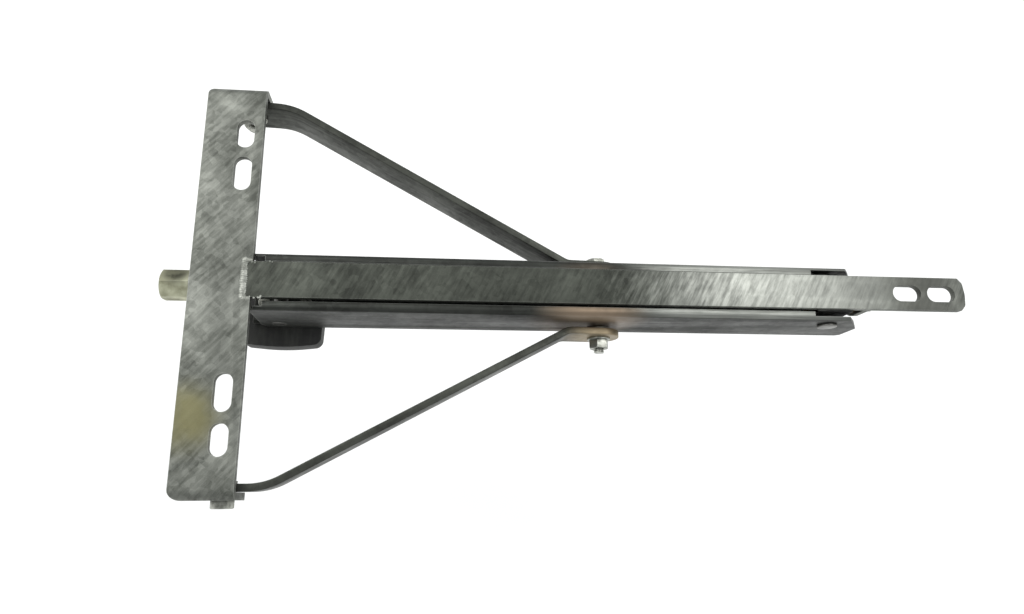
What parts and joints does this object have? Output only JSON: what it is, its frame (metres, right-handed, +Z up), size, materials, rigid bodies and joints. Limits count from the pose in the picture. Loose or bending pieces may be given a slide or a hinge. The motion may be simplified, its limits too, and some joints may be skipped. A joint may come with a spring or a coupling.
{
  "type": "winding corner steady",
  "caption": "Folding support leg under a slotted cross plate and rail, let down by a lead screw, travelling nut and two side braces.",
  "frame": {"origin": "on the mounting face, at the middle of the cross plate's outer edge", "axes": "+X along the rail from the drive hexagon to the slotted tongue, +Z up and out of the mounting face, Y along the cross plate"},
  "size_m": [0.5764, 0.2966, 0.08],
  "materials": {
    "galvanised_plate": "matt hot-dip galvanised",
    "galvanised_bar": "matt hot-dip galvanised",
    "galvanised_sheet": "matt hot-dip galvanised",
    "dark_galvanised_bar": "dull galvanised",
    "weld_metal": "galvanised weld bead",
    "zinc_fasteners": "bright zinc plated",
    "passivated_steel": "yellow passivated zinc",
    "plain_steel": "greased steel",
    "cast_steel": "cast, greased",
    "bronze": "plain bronze",
    "black_rubber": "matt black"
  },
  "bodies": {
    "frame": {"cross_plate": "galvanised_plate", "rail_bar": "galvanised_bar", "rail_weld": "weld_metal", "front_bearing_tab": "galvanised_plate", "rear_bearing_tab": "galvanised_plate", "front_bush": "bronze", "rear_bush": "bronze", "tab_welds": "weld_metal", "ear_bolts": "zinc_fasteners", "ear_washers": "zinc_fasteners", "ear_nuts": "zinc_fasteners"},
    "screw": {"lead_screw": "plain_steel", "hex_drive": "passivated_steel", "drive_pin": "plain_steel", "thrust_collar": "plain_steel", "end_washer": "zinc_fasteners", "end_nut": "zinc_fasteners"},
    "travelling_nut": {"nut_block": "cast_steel", "thread_insert": "bronze"},
    "braces": {"brace_left": "dark_galvanised_bar", "brace_right": "dark_galvanised_bar", "mid_spacers": "zinc_fasteners", "mid_washer": "zinc_fasteners", "mid_bolt": "zinc_fasteners", "mid_nut": "zinc_fasteners"},
    "leg": {"leg_channel": "galvanised_sheet", "spacer_tube": "plain_steel", "pivot_stubs": "plain_steel", "foot_pin": "plain_steel"},
    "foot": {"foot_bracket": "galvanised_sheet", "foot_pad": "black_rubber", "foot_rivets": "zinc_fasteners"}
  },
  "joints": [
    {"name": "fold", "type": "hinge", "parent": "frame", "child": "braces", "pos_m": [0.0273, 0, -0.0255], "axis": [0, 1, 0], "range_deg": [0, 32.46]},
    {"name": "leg_pivot", "type": "hinge", "parent": "braces", "child": "leg", "pos_m": [0.2846, 0, -0.0425], "axis": [0, -1, 0], "range_deg": [0, 92.46]},
    {"name": "foot_swivel", "type": "hinge", "parent": "leg", "child": "foot", "pos_m": [0.051, 0, -0.046], "axis": [0, 1, 0], "range_deg": [-2, 60]},
    {"name": "nut_slide", "type": "slide", "parent": "frame", "child": "travelling_nut", "axis": [-1, 0, 0], "range_m": [0, 0.15362]},
    {"name": "screw_turn", "type": "hinge", "parent": "frame", "child": "screw", "pos_m": [0, 0, -0.02], "axis": [1, 0, 0], "range_deg": [0, 13817.8]}
  ],
  "couplings": [
    {"joint": "leg_pivot", "follows": "fold", "ratio": 2.8482},
    {"joint": "nut_slide", "follows": "fold", "m_per_rad": 0.27098},
    {"joint": "screw_turn", "follows": "fold", "ratio": 425.65}
  ]
}
